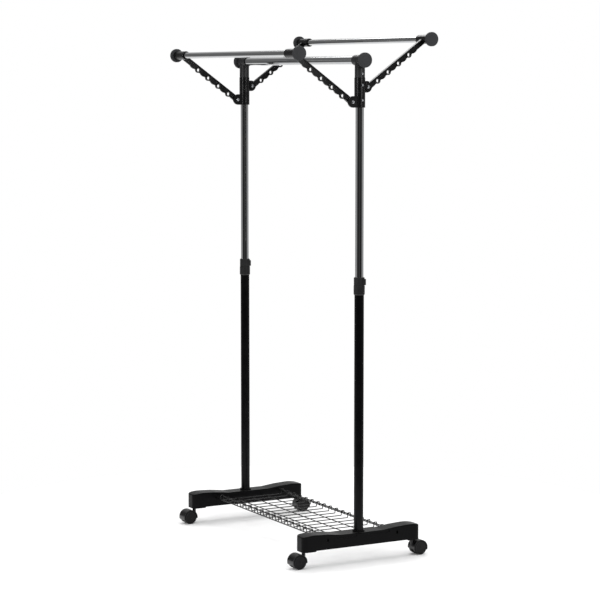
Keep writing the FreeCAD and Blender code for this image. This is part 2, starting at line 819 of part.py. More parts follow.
def tee(label, hand):
    """Tee that joins the post to the middle rail."""
    body = new_body(label)
    along = new_sketch(body, "YZ_Plane", label + "_rail_view", -s.tee_inboard)
    circle(along, 0, s.rail_height, tee_radius)
    pad(body, along, label + "_rail_sleeve", s.tee_inboard + s.tee_outboard)
    stem = new_sketch(body, "XY_Plane", label + "_post_view", ring_top)
    circle(stem, 0, 0, stem_radius)
    pad(body, stem, label + "_post_sleeve", s.tee_stem)
    bore = new_sketch(body, "YZ_Plane", label + "_rail_bore_view", -s.tee_inboard - CUT_OVER)
    circle(bore, 0, s.rail_height, upper_radius + s.fit_gap)
    pocket(body, bore, label + "_rail_bore", s.tee_inboard + s.tee_outboard + CUT_OVER * 2, reverse=True)
    post = new_sketch(body, "XY_Plane", label + "_post_bore_view", ring_top - CUT_OVER)
    circle(post, 0, 0, upper_radius + s.fit_gap)
    pocket(body, post, label + "_post_bore", upper_top - ring_top + CUT_OVER, reverse=True)
    screw = new_sketch(body, "YZ_Plane", label + "_screw_view")
    circle(screw, 0, tee_screw_z, s.screw_diameter / 2)
    pocket(body, screw, label + "_screw_hole", stem_radius * 2, reverse=True)
    put(body, post_x * hand, 0, 0, facing(hand))
    return node(body, label)


def middle_rail():
    part = tube("middle_rail", upper_radius, upper_bore, middle_rail_half * 2)
    put(part, -middle_rail_half, 0, s.rail_height, ALONG_X)
    return node(part, "middle_rail")


def tee_cap(label, hand):
    edge = tee_radius + s.tee_cap_lip
    body = end_cap(label, edge, upper_bore - s.fit_gap, s.tee_cap_spigot)
    put(body, (post_x + s.tee_outboard) * hand, 0, s.rail_height, outboard(hand))
    return node(body, label)


# --------------------------------------------------------------------------------------------------
# Hinge rings and pivots
# --------------------------------------------------------------------------------------------------
def hinge_ring(label, hand, side):
    """Ring round the post with one flat ear that carries an arm's pivot."""
    bottom = ring_bottom + (s.ring_height if side > 0 else 0)
    bore = upper_radius + s.fit_gap
    body = turned(label, [(bore, 0), (ring_radius, 0), (ring_radius, s.ring_height), (bore, s.ring_height)])
    gap = s.arm_thickness / 2 + s.free_gap
    face = gap if side < 0 else -(gap + s.ear_thickness)
    ear = new_sketch(body, "YZ_Plane", label + "_ear_view", face)
    reach = hinge_offset * side
    inner = (upper_radius + s.ear_root) * side
    tall = s.ear_radius * 2
    bulge = s.ear_radius + ARC_SLACK
    if side < 0:
        corners = [(reach, 0), (inner, 0), (inner, tall), (reach, tall, bulge)]
    else:
        corners = [(inner, 0), (reach, 0, bulge), (reach, tall), (inner, tall)]
    outline(ear, corners)
    pad(body, ear, label + "_ear", s.ear_thickness)
    hole = new_sketch(body, "YZ_Plane", label + "_hole_view", face - CUT_OVER)
    circle(hole, reach, s.ear_radius, pivot_radius)
    pocket(body, hole, label + "_pivot_hole", s.ear_thickness + CUT_OVER * 2, reverse=True)
    screw = new_sketch(body, "YZ_Plane", label + "_screw_view")
    circle(screw, 0, s.ring_height / 2, s.screw_diameter / 2)
    pocket(body, screw, label + "_screw_hole", ring_radius * 2, reverse=hand > 0)
    put(body, post_x * hand, 0, bottom)
    return node(body, label)


def pivot_height(side):
    return near_pivot_z if side < 0 else far_pivot_z


def pivot_rivet(name, hand, side):
    """Rivet through the ear and the arm; its heads stand clear of the arm."""
    head = s.rivet_head_diameter / 2
    slope = s.rivet_head_slope
    arm_half = s.arm_thickness / 2 + s.free_gap
    ear_side = arm_half + s.ear_thickness
    back = -arm_half - s.rivet_head_height
    part = turned(name, [
        (0, back), (head - slope, back), (head, -arm_half), (pivot_radius, -arm_half),
        (pivot_radius, ear_side), (head, ear_side), (head - slope, ear_side + slope),
        (0, ear_side + slope)])
    turn = ALONG_X if side < 0 else AGAINST_X
    put(part, post_x * hand, hinge_offset * side, pivot_height(side), turn)
    return part


def set_screw(name, hand, height, sleeve_radius):
    """Small screw through the outboard side of a sleeve, bearing on the post."""
    shank = s.screw_diameter / 2
    head = s.screw_head_diameter / 2
    seat = sleeve_radius - upper_radius
    top = seat + s.screw_head_height
    part = turned(name, [(0, 0), (shank, 0), (shank, seat), (head, seat), (head, seat + s.screw_head_edge),
                         (head - s.small_chamfer, top), (0, top)])
    put(part, (post_x + upper_radius + s.fit_gap) * hand, 0, height, outboard(hand))
    return part


# --------------------------------------------------------------------------------------------------
# Folding wings
# --------------------------------------------------------------------------------------------------
def across(corners, side):
    """Corners drawn for the far side, mirrored for the near side with the same winding."""
    if side > 0:
        return corners
    return [(-corner[0], corner[1]) for corner in reversed(corners)]


def arm_plate(body, name, corners, side, thickness):
    """A flat layer of the arm, centred on its middle plane."""
    sketch = new_sketch(body, "YZ_Plane", name + "_view")
    outline(sketch, across(corners, side))
    pad(body, sketch, name, thickness, symmetric=True)


def hole_centres(side):
    return [(s.first_hole + hole_pitch * number) * side for number in range(HOLE_COUNT)]


def arm_swells(body, label, side):
    """Raised lens shapes between the bosses, with their round side along the lower edge."""
    low = s.swell_low - s.arm_low_edge
    top = s.arm_top_edge - s.swell_top_drop
    clear = s.boss_radius + s.swell_gap
    sketch = new_sketch(body, "YZ_Plane", label + "_swell_view")
    for number in range(HOLE_COUNT):
        start = s.first_hole + hole_pitch * number + clear
        finish = s.first_hole + hole_pitch * (number + 1) - clear
        curved = across([(start, low), (finish, low), (finish - s.swell_slant, top),
                         (start + s.swell_slant, top)], side)
        round_side = 0 if side > 0 else 2
        curved[round_side] = curved[round_side] + (s.swell_radius,)
        outline(sketch, curved)
    pad(body, sketch, label + "_swells", s.arm_thickness - s.swell_step, symmetric=True)


def arm_cut(body, name, centres, height, radius):
    """Round holes right through the arm."""
    sketch = new_sketch(body, "YZ_Plane", name + "_view")
    for centre in centres:
        circle(sketch, centre, height, radius)
    pocket(body, sketch, name, s.arm_flange + CUT_OVER, symmetric=True)


def arm(label, hand, side):
    """Arm with a straight flanged top edge, hook holes and a scalloped lower edge."""
    body = new_body(label)
    start = s.arm_web_start
    end = s.arm_length - rail_socket_radius + s.arm_end_overlap
    nose = s.hinge_reach - s.arm_gap
    low = -s.arm_low_edge
    top = s.arm_top_edge
    root = s.arm_root_length
    flange = s.ear_radius + s.arm_flange_gap
    under = top - s.arm_flange_depth
    arm_plate(body, label + "_web", [(start, low), (end, low), (end, top), (start, top)], side, s.arm_web)
    heel = new_sketch(body, "YZ_Plane", label + "_heel_view")
    circle(heel, 0, 0, nose)
    pad(body, heel, label + "_heel", s.arm_thickness, symmetric=True)
    arm_plate(body, label + "_root", [(0, s.arm_root_rise - nose), (root, low), (root, top), (0, top)],
              side, s.arm_thickness)
    arm_plate(body, label + "_flange", [(flange, under), (end, under), (end, top), (flange, top)],
              side, s.arm_flange)
    bosses = new_sketch(body, "YZ_Plane", label + "_boss_view")
    for centre in hole_centres(side):
        circle(bosses, centre, -s.hole_drop, s.boss_radius)
    pad(body, bosses, label + "_bosses", s.arm_thickness, symmetric=True)
    arm_swells(body, label, side)
    arm_cut(body, label + "_hook_holes", hole_centres(side), -s.hole_drop, s.hole_diameter / 2)
    arm_cut(body, label + "_pivot_hole", [0], 0, pivot_radius + s.fit_gap)
    arm_cut(body, label + "_saddle", [s.arm_length * side], 0, rail_socket_radius + s.fit_gap)
    put(body, post_x * hand, hinge_offset * side, pivot_height(side),
        Rotation(Vector(side, 0, 0), SIZES["arm_angle"]))
    bind(body, "Placement.Rotation.Angle", s.arm_angle)
    return node(body, label)


def rail_place(side):
    return rail_out * side, pivot_height(side) + rail_rise


def rail_socket(label, hand, side):
    """Sleeve at the top of an arm that holds the end of a side rail."""
    bore = side_rail_radius + s.fit_gap
    low = -s.rail_socket_inboard
    high = s.rail_socket_outboard
    edge = s.rail_socket_chamfer
    part = turned(label, [
        (bore, low), (rail_socket_radius - edge, low), (rail_socket_radius, low + edge),
        (rail_socket_radius, high), (bore, high)])
    y, z = rail_place(side)
    put(part, post_x * hand, y, z, outboard(hand))
    return node(part, label)


def side_cap(label, hand, side):
    body = end_cap(label, rail_socket_radius + s.side_cap_lip, side_rail_radius, s.side_cap_spigot)
    y, z = rail_place(side)
    put(body, (post_x + s.rail_socket_outboard) * hand, y, z, outboard(hand))
    return node(body, label)


def side_rail(label, side):
    part = tube(label, side_rail_radius, side_rail_radius - s.side_rail_wall, side_rail_half * 2)
    y, z = rail_place(side)
    put(part, -side_rail_half, y, z, ALONG_X)
    return node(part, label)


# --------------------------------------------------------------------------------------------------
# Castors
# --------------------------------------------------------------------------------------------------
def castor_hood(label, hand, side):
    """Hood over the twin wheels, with a middle web for the axle and a neck for the stem."""
    body = new_body(label)
    well = wheel_radius + s.wheel_gap
    width = s.hood_web + (s.wheel_width + s.free_gap * 2) * 2
    dome = new_sketch(body, "YZ_Plane", label + "_dome_view")
    circle(dome, castor_trail, wheel_radius, well + s.hood_thickness)
    pad(body, dome, label + "_dome", width, symmetric=True)
    neck_base = wheel_radius + s.neck_root
    neck = new_sketch(body, "XY_Plane", label + "_neck_view", neck_base)
    circle(neck, 0, 0, s.neck_diameter / 2)
    pad(body, neck, label + "_neck", foot_base - s.swivel_gap - neck_base)
    for name, face, reverse in (("_outer_well", s.hood_web / 2, True), ("_inner_well", -s.hood_web / 2, False)):
        wells = new_sketch(body, "YZ_Plane", label + name + "_view", face)
        circle(wells, castor_trail, wheel_radius, well)
        pocket(body, wells, label + name, CUT_CLEAR, reverse=reverse)
    skirt = new_sketch(body, "YZ_Plane", label + "_skirt_view")
    floor = wheel_radius - s.hood_low_line
    front = castor_trail - wheel_radius * 2
    back = castor_trail + wheel_radius * 2
    outline(skirt, [(front, -wheel_radius), (back, -wheel_radius), (back, floor - s.hood_front_drop),
                    (front, floor + s.hood_back_rise)])
    pocket(body, skirt, label + "_open_bottom", CUT_CLEAR * 2, symmetric=True)
    axle = new_sketch(body, "YZ_Plane", label + "_axle_view")
    circle(axle, castor_trail, wheel_radius, s.axle_diameter / 2)
    pocket(body, axle, label + "_axle_hole", CUT_CLEAR * 2, symmetric=True)
    stem = new_sketch(body, "XY_Plane", label + "_stem_view", foot_base)
    circle(stem, 0, 0, s.stem_diameter / 2)
    pocket(body, stem, label + "_stem_hole", s.stem_seat)
    put(body, post_x * hand, swivel_y * side, 0, facing(side))
    return node(body, label)


def castor_pins(label, hand, side):
    """Steel stem that swivels in the foot, and the steel axle across the hood."""
    radius = s.stem_diameter / 2
    low = s.stem_seat_gap - s.stem_seat
    high = s.stem_height
    edge = s.small_chamfer
    stem = turned(label + "_stem", [(0, low), (radius, low), (radius, high - edge), (radius - edge, high),
                                    (0, high)])
    put(stem, post_x * hand, swivel_y * side, foot_base)
    half = s.hood_web / 2 + s.wheel_width - s.axle_end_gap
    axle = rod(label + "_axle", s.axle_diameter / 2, half * 2)
    put(axle, post_x * hand - half, (swivel_y + castor_trail) * side, wheel_radius, ALONG_X)
    return node(group(label, [stem, axle]), label)


def castor_wheel(label, hand, side, face):
    """One wheel of the pair: rounded tread, dished outer face and a blind hub."""
    width = s.wheel_width
    hub = s.axle_diameter / 2 + s.fit_gap
    inner = s.tread_inner_round
    tread = s.tread_round
    dish = width - s.wheel_dish
    rim = wheel_radius - tread - s.wheel_rim_width
    blind = width - s.hub_wall
    body = turned(label, [
        (hub, 0), (wheel_radius - inner, 0), (wheel_radius, inner), (wheel_radius, width - tread, tread),
        (wheel_radius - tread, width), (rim, width), (rim - s.wheel_dish_slope, dish),
        (s.hub_face_radius + s.hub_slope, dish), (s.hub_face_radius, width), (0, width), (0, blind),
        (hub, blind)])
    start = s.hood_web / 2 + s.free_gap
    put(body, post_x * hand + start * face, (swivel_y + castor_trail) * side, wheel_radius, outboard(face))
    return node(body, label)


# --------------------------------------------------------------------------------------------------
# Assembly
# --------------------------------------------------------------------------------------------------
def build_base():
    for name, hand in SIDES:
        foot(name + "_foot", hand)
        lower_tube(name + "_lower_tube", hand)
        collar_sleeve(name + "_collar_sleeve", hand)
        grip_collet(name + "_grip_collet", hand)
        collar_knob(name + "_collar_knob", hand)
    node(group("post_plugs", [post_plug(name + "_post_plug", hand) for name, hand in SIDES]), "post_plugs")
    node(group("post_bolts", [post_bolt(name + "_post_bolt", hand) for name, hand in SIDES]), "post_bolts")
    shelf_rim("shelf_front_rim", -1)
    shelf_rim("shelf_back_rim", 1)
    long_wires()
    cross_wires()


def build_upper_frame():
    plugs = []
    screws = []
    rivets = []
    for name, hand in SIDES:
        upper_tube(name + "_upper_tube", hand)
        tee(name + "_tee", hand)
        tee_cap(name + "_tee_cap", hand)
        plugs.append(guide_plug(name + "_guide_plug", hand))
        screws.append(set_screw(name + "_tee_screw", hand, tee_screw_z, stem_radius))
        middle = ring_bottom + s.ring_height / 2
        for depth, side in DEPTHS:
            hinge_ring("%s_%s_hinge_ring" % (name, depth), hand, side)
            screws.append(set_screw("%s_%s_ring_screw" % (name, depth), hand, middle, ring_radius))
            rivets.append(pivot_rivet("%s_%s_pivot_rivet" % (name, depth), hand, side))
            middle = middle + s.ring_height
    middle_rail()
    node(group("guide_plugs", plugs), "guide_plugs")
    node(group("frame_screws", screws), "frame_screws")
    node(group("pivot_rivets", rivets), "pivot_rivets")


def build_wings():
    for depth, side in DEPTHS:
        side_rail(depth + "_side_rail", side)
        for name, hand in SIDES:
            arm("%s_%s_arm" % (depth, name), hand, side)
            rail_socket("%s_%s_rail_socket" % (depth, name), hand, side)
            side_cap("%s_%s_rail_cap" % (depth, name), hand, side)


def build_castors():
    for depth, side in DEPTHS:
        for name, hand in SIDES:
            place = "%s_%s" % (depth, name)
            castor_hood(place + "_castor_hood", hand, side)
            castor_pins(place + "_castor_pins", hand, side)
            castor_wheel(place + "_inner_wheel", hand, side, -hand)
            castor_wheel(place + "_outer_wheel", hand, side, hand)


def check_document():
    doc.recompute()
    for thing in doc.Objects:
        if "Invalid" in thing.State or "Error" in thing.State:
            raise RuntimeError("%s failed: %s" % (thing.Name, thing.State))
    for part in nodes:
        if part.Shape.isNull() or not part.Shape.isValid():
            raise RuntimeError(part.Label + " has no valid shape")


def write_parts():
    os.makedirs("parts", exist_ok=True)
    for part in nodes:
        part.Shape.exportStep("parts/%s.step" % part.Label)
    print(len(nodes), "sub-parts written")


build_base()
build_upper_frame()
build_wings()
build_castors()
check_document()
write_parts()
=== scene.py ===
# %% [markdown]
# # A rolling clothes rack, dressed for the studio
#
# The rack comes in as a finished model: posts, rails, arms, castors and a wire shelf, each its own
# named part that already moves with the right body. The work here is everything the eye reads:
# chrome, powder coat, moulded plastic, light and a camera. Nothing of the rack is moved or hidden.

# %% Load the rack
import json
import math

import bpy
import numpy as np
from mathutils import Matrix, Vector

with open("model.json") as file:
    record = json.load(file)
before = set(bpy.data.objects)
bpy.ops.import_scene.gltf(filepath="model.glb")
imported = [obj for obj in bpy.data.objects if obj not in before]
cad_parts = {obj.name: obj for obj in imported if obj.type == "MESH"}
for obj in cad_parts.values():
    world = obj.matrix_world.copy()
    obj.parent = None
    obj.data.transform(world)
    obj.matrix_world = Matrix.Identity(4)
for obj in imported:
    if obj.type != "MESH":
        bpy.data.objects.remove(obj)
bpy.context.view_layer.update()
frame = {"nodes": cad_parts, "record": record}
nodes = frame["nodes"]

# %% [markdown]
# ## Where we stand
#
# Catalogue pictures of racks are taken from well back with a long lens, at about the height of the
# rails and dipped a few degrees, so posts stay almost upright. A long lens on a far camera does the
# same here; a short lens close by would splay the posts.

# %% Camera
SENSOR_WIDTH = 36.0
LENS = 127.58
CAMERA_PLACE = Vector((5.7986, -3.1854, 1.4532))
CAMERA_TURN = math.radians(61.199)
CAMERA_DIP = math.radians(6.01)
FAR_CLIP = 50.0

looking = Vector((
    -math.sin(CAMERA_TURN) * math.cos(CAMERA_DIP),
    math.cos(CAMERA_TURN) * math.cos(CAMERA_DIP),
    -math.sin(CAMERA_DIP)))
camera = bpy.data.objects.new("camera", bpy.data.cameras.new("camera"))
bpy.context.scene.collection.objects.link(camera)
camera.location = CAMERA_PLACE
camera.rotation_euler = looking.to_track_quat("-Z", "Y").to_euler()
camera.data.sensor_width = SENSOR_WIDTH
camera.data.lens = LENS
camera.data.clip_end = FAR_CLIP
bpy.context.scene.camera = camera
bpy.context.scene.view_settings.view_transform = "Standard"
print("camera", [round(v, 3) for v in camera.location], "lens", LENS, "mm")


# %% [markdown]
# ## Two helpers
#
# Colours are written the way a paint shop writes them, as sRGB hex, and turned to the linear
# numbers that light adds up in. A node tree is a graph, so one small function that adds a node,
# sets it and wires it keeps every material readable.

# %% Colour and node helpers
def linear(hex_code):
    """sRGB hex to linear: c / 12.92 up to 0.04045, above it ((c + 0.055) / 1.055) to the power 2.4."""
    parts = np.array([int(hex_code[i:i + 2], 16) for i in (1, 3, 5)]) / 255.0
    low = parts / 12.92
    high = ((parts + 0.055) / 1.055) ** 2.4
    return (*np.where(parts <= 0.04045, low, high).tolist(), 1.0)


def add(tree, kind, inputs=None, **settings):
    """Adds a node. An input takes a value or another node's output; a list of stops fills a ramp."""
    made = tree.nodes.new(kind)
    stops = settings.pop("stops", ())
    for name, value in settings.items():
        setattr(made, name, value)
    for name, value in (inputs or {}).items():
        if isinstance(value, bpy.types.NodeSocket):
            tree.links.new(value, made.inputs[name])
        else:
            made.inputs[name].default_value = value
    for index, (place, colour) in enumerate(stops):
        band = made.color_ramp.elements
        stop = band[index] if index < 2 else band.new(place)
        stop.position = place
        stop.color = colour
    return made


# A Mix node lists its sockets by type; these are the places of its colour sockets.
MIX_A, MIX_B, MIX_OUT = 6, 7, 2
print("black powder coat in linear light:", [round(v, 4) for v in linear("#121213")])

# %% [markdown]
# ## The studio
#
# Chrome has no colour of its own: it shows the room. A product studio for chrome is white behind
# and underneath, grey overhead and dark behind the camera, so each tube reads as a bright edge,
# a grey fall-off and a black core. The eye's own view of the backdrop and the soft light on
# matt parts stay plain white. The World shader can hold both: camera and diffuse rays get white,
# glossy rays get the room. This is a stage trick: no one real room looks both ways. The bands
# below were tuned render after render, until the tubes had about the right stripes.

# %% Studio room in the World shader
BACKDROP = 1.0
# Each band is (place, brightness): place 0 is behind the camera, 0.5 the sides, 1 behind the rack.
BELOW_LEVEL = [(0.000, 0.040), (1.000, 1.000), (0.030, 0.045), (0.075, 0.004), (0.190, 0.020),
               (0.280, 0.140), (0.420, 0.270), (0.600, 0.520), (0.690, 0.200), (0.790, 0.090),
               (0.880, 0.500)]
ABOVE_LEVEL = [(0.000, 0.040), (1.000, 1.000), (0.075, 0.004), (0.300, 0.050), (0.700, 0.080),
               (0.780, 0.180), (0.880, 0.160), (0.960, 0.600)]
CEILING = [(0.000, 0.100), (1.000, 0.500), (0.700, 0.080), (0.780, 0.160), (0.850, 0.120), (0.910, 0.380)]
HORIZON_BLUR = 0.015             # heights are sines of the angle above level
CEILING_STARTS = 0.06
CEILING_FULL = 0.28
SWEEP = 0.85                     # the white sweep of paper under and behind the rack
SWEEP_STARTS = -0.32
SWEEP_FULL = -0.47
REAR_STARTS = 0.5                # the sweep is only behind the rack: places as in the bands
REAR_FULL = 0.75


def grey(level):
    return (level, level, level, 1.0)


world = bpy.data.worlds.new("studio")
bpy.context.scene.world = world
world.use_nodes = True
room = world.node_tree
room.nodes.clear()
behind = (-math.sin(CAMERA_TURN), math.cos(CAMERA_TURN), 0.0)
direction = add(room, "ShaderNodeTexCoord").outputs["Generated"]
flat = add(room, "ShaderNodeVectorMath", {0: direction, 1: (1.0, 1.0, 0.0)}, operation="MULTIPLY")
level = add(room, "ShaderNodeVectorMath", {0: flat.outputs[0]}, operation="NORMALIZE")
facing = add(room, "ShaderNodeVectorMath", {0: level.outputs[0], 1: behind}, operation="DOT_PRODUCT")
around = add(room, "ShaderNodeMapRange", {0: facing.outputs["Value"], "From Min": -1.0})
bands = [add(room, "ShaderNodeValToRGB", {0: around.outputs[0]},
             stops=[(place, grey(value)) for place, value in band]).outputs["Color"]
         for band in (BELOW_LEVEL, ABOVE_LEVEL, CEILING)]
height = add(room, "ShaderNodeSeparateXYZ", {0: direction})
horizon = add(room, "ShaderNodeMapRange", {
    0: height.outputs["Z"], "From Min": -HORIZON_BLUR, "From Max": HORIZON_BLUR})
walls = add(room, "ShaderNodeMix", {
    0: horizon.outputs[0], MIX_A: bands[0], MIX_B: bands[1]}, data_type="RGBA")
low = add(room, "ShaderNodeMapRange", {
    0: height.outputs["Z"], "From Min": SWEEP_STARTS, "From Max": SWEEP_FULL},
    interpolation_type="SMOOTHSTEP")
rear = add(room, "ShaderNodeMapRange", {0: around.outputs[0], "From Min": REAR_STARTS, "From Max": REAR_FULL})
swept = add(room, "ShaderNodeMath", {0: low.outputs[0], 1: rear.outputs[0]}, operation="MULTIPLY")
ground = add(room, "ShaderNodeMix", {
    0: swept.outputs[0], MIX_A: walls.outputs[MIX_OUT], MIX_B: grey(SWEEP)}, data_type="RGBA")
ceiling = add(room, "ShaderNodeMapRange", {
    0: height.outputs["Z"], "From Min": CEILING_STARTS, "From Max": CEILING_FULL},
    interpolation_type="SMOOTHSTEP")
room_light = add(room, "ShaderNodeMix", {
    0: ceiling.outputs[0], MIX_A: ground.outputs[MIX_OUT], MIX_B: bands[2]}, data_type="RGBA")
path = add(room, "ShaderNodeLightPath")
seen = add(room, "ShaderNodeMix", {
    0: path.outputs["Is Glossy Ray"], MIX_A: grey(BACKDROP), MIX_B: room_light.outputs[MIX_OUT]},
    data_type="RGBA")
glow = add(room, "ShaderNodeBackground", {"Color": seen.outputs[MIX_OUT]})
add(room, "ShaderNodeOutputWorld", {"Surface": glow.outputs[0]})
world.cycles.sampling_method = "NONE"    # a light sample is not a glossy ray, so it would see the white
print("room drawn with", len(room.nodes), "nodes")

# %% [markdown]
# Black plastic needs something bright to catch, or it is a hole in the picture. Two strip boxes
# stand left and right of the camera. They are raised, because upright chrome mirrors only a thin
# cone of directions about level with it, and the boxes stay some degrees above that cone, while
# the rougher plastics smear them into two soft upright highlights. A box high behind the rack rims
# the wires and the tops of the feet. The level rails can just mirror its lower edge, as a thin
# glint along their tops. One large box overhead lifts the paper to white. All are dim, because
# most of the light is the white room itself.

# %% Lights
# bearing from the camera's side in degrees, distance and height in metres, width, height, watts
BOXES = {
    "strip_left": (-47.0, 3.4, 2.05, 0.26, 0.80, 24.0),
    "strip_right": (40.0, 3.4, 2.05, 0.26, 0.80, 24.0),
    "rear_box": (176.0, 2.2, 3.6, 2.6, 1.4, 44.0),
    "top_box": (20.0, 0.4, 3.6, 3.0, 3.0, 12.0)}
AIM = Vector((0.0, 0.0, 1.0))


def area_light(name, place, aim, wide, tall, power):
    lamp = bpy.data.lights.new(name, "AREA")
    lamp.shape = "RECTANGLE"
    lamp.size = wide
    lamp.size_y = tall
    lamp.energy = power
    thing = bpy.data.objects.new(name, lamp)
    bpy.context.scene.collection.objects.link(thing)
    thing.location = place
    thing.rotation_euler = (aim - place).to_track_quat("-Z", "Y").to_euler()
    return thing


for name, (turn, reach, up, wide, tall, power) in BOXES.items():
    bearing = math.atan2(-behind[1], -behind[0]) + math.radians(turn)
    place = Vector((reach * math.cos(bearing), reach * math.sin(bearing), up))
    area_light(name, place, AIM, wide, tall, power)
print(len(bpy.data.lights), "lights")

# %% [markdown]
# The floor is a round of seamless paper. It is a small disc, not an endless plane, because beyond
# it the chrome and the black posts should see the dark room, not more white. A polar grid of rings
# and spokes gives it in one array.

# %% Paper floor
FLOOR_RADIUS = 1.25
FLOOR_RINGS = 12
FLOOR_SPOKES = 96
FLOOR_DROP = 0.0005              # the paper lies half a millimetre under the wheels
FLOOR_PIN = 0.001                # the grid starts at a pin hole under the rack, not at a point


def surface(name, grid, close_across=False):
    """Mesh from a grid of points (rows, columns, 3): each cell of the grid becomes one quad.
    close_across joins the last column to the first, which turns a sheet into a ring or a tube."""
    rows, columns = grid.shape[:2]
    index = np.arange(rows * columns).reshape(rows, columns)
    right = np.roll(index, -1, axis=1) if close_across else index[:, 1:]
    left = index if close_across else index[:, :-1]
    quads = np.stack([left[:-1], right[:-1], right[1:], left[1:]], axis=-1).reshape(-1, 4)
    mesh = bpy.data.meshes.new(name)
    mesh.from_pydata(grid.reshape(-1, 3), [], quads)
    mesh.polygons.foreach_set("use_smooth", np.ones(len(mesh.polygons), dtype=bool))
    thing = bpy.data.objects.new(name, mesh)
    bpy.context.scene.collection.objects.link(thing)
    return thing


def disc(name, radius, rings, spokes, height):
    """Flat round sheet. Point at distance r and angle a: (r cos a, r sin a, height)."""
    out, turn = np.meshgrid(
        np.linspace(FLOOR_PIN, radius, rings), np.arange(spokes) * 2 * np.pi / spokes, indexing="ij")
    grid = np.stack([out * np.cos(turn), out * np.sin(turn), np.full_like(out, height)], axis=-1)
    return surface(name, grid, close_across=True)


floor = disc("paper_floor", FLOOR_RADIUS, FLOOR_RINGS, FLOOR_SPOKES, -FLOOR_DROP)
print("floor faces", len(floor.data.polygons))


# %% [markdown]
# ## Finishes
#
# Every finish reads Object coordinates, which on this rack are plain metres, so a pattern's scale
# follows from the real size of its grain: a noise of scale s has features about 1 / s metres
# across. A small helper turns millimetres into that number.

# %% Pattern sizes
def per_mm(size):
    """Noise scale whose features are about this many millimetres across."""
    return 1000.0 / size


def new_finish(name):
    """An empty material with a Principled shader wired to its output; returns material, tree, shader."""
    material = bpy.data.materials.new(name)
    material.use_nodes = True
    tree = material.node_tree
    tree.nodes.clear()
    shader = add(tree, "ShaderNodeBsdfPrincipled")
    add(tree, "ShaderNodeOutputMaterial", {"Surface": shader.outputs[0]})
    return material, tree, shader


# %% [markdown]
# **Seamless paper.** Matt, nearly white, with a fibre so fine that only a faint mottling shows.

# %% Seamless paper
PAPER = ("#f1f1f1", "#f6f6f6")
paper, tree, shader = new_finish("seamless_paper_matt")
where = add(tree, "ShaderNodeTexCoord").outputs["Object"]
fibre = add(tree, "ShaderNodeTexNoise", {"Vector": where, "Scale": per_mm(60.0), "Detail": 3.0})
tone = add(tree, "ShaderNodeValToRGB", {0: fibre.outputs["Fac"]},
           stops=[(0.3, linear(PAPER[0])), (0.7, linear(PAPER[1]))])
tree.links.new(tone.outputs["Color"], shader.inputs["Base Color"])
shader.inputs["Roughness"].default_value = 0.9
shader.inputs["Specular IOR Level"].default_value = 0.1
floor.data.materials.append(paper)
print(paper.name)

# %% [markdown]
# **Bright chrome plate on drawn steel tube.** The upper posts and the three rails. Plating copies
# the tube under it, so it keeps the faint draw lines along the tube and the soft polish waves that
# make a reflected edge wander a little. A drawn line is far longer than it is wide: the noise is
# squeezed across the tube and stretched along it. Thin handling haze lifts the roughness in
# patches, which is what tells chrome from a perfect mirror.


# %% Chrome
def chrome(name, along):
    """along is the direction of the tube, 0 for X and 2 for Z: draw lines run that way."""
    material, tree, shader = new_finish(name)
    where = add(tree, "ShaderNodeTexCoord").outputs["Object"]
    # real draw lines are under 0.1 mm apart; 0.9 mm lets them show
    squeeze = [per_mm(0.9)] * 3
    squeeze[along] = per_mm(90.0)
    lines_at = add(tree, "ShaderNodeMapping", {"Vector": where, "Scale": squeeze})
    lines = add(tree, "ShaderNodeTexNoise", {"Vector": lines_at.outputs[0], "Scale": 1.0, "Detail": 3.0})
    waves = add(tree, "ShaderNodeTexNoise", {"Vector": where, "Scale": per_mm(55.0), "Detail": 1.0})
    haze = add(tree, "ShaderNodeTexNoise", {
        "Vector": where, "Scale": per_mm(35.0), "Detail": 4.0, "Roughness": 0.6})
    tint = add(tree, "ShaderNodeValToRGB", {0: haze.outputs["Fac"]},
               stops=[(0.35, linear("#d9dbde")), (0.70, linear("#e2e2e1"))])
    gloss = add(tree, "ShaderNodeMapRange", {
        0: haze.outputs["Fac"], "From Min": 0.3, "From Max": 0.75, "To Min": 0.045, "To Max": 0.105})
    wander = add(tree, "ShaderNodeBump", {
        "Height": waves.outputs["Fac"], "Strength": 0.06, "Distance": 0.0006})
    drawn = add(tree, "ShaderNodeBump", {
        "Height": lines.outputs["Fac"], "Strength": 0.02, "Distance": 0.0001,
        "Normal": wander.outputs["Normal"]})
    tree.links.new(tint.outputs["Color"], shader.inputs["Base Color"])
    tree.links.new(gloss.outputs[0], shader.inputs["Roughness"])
    tree.links.new(drawn.outputs["Normal"], shader.inputs["Normal"])
    shader.inputs["Metallic"].default_value = 1.0
    return material


chrome_posts = chrome("chrome_plate_on_upright_tube", 2)
chrome_rails = chrome("chrome_plate_on_level_tube", 0)
print(chrome_posts.name, chrome_rails.name)

# %% [markdown]
# **Zinc plate.** Bolts, screws, axles and rivets come bright from a barrel-plating line: a greyer,
# slightly blue metal with small tumbling dings, much softer in its reflections than the chrome.

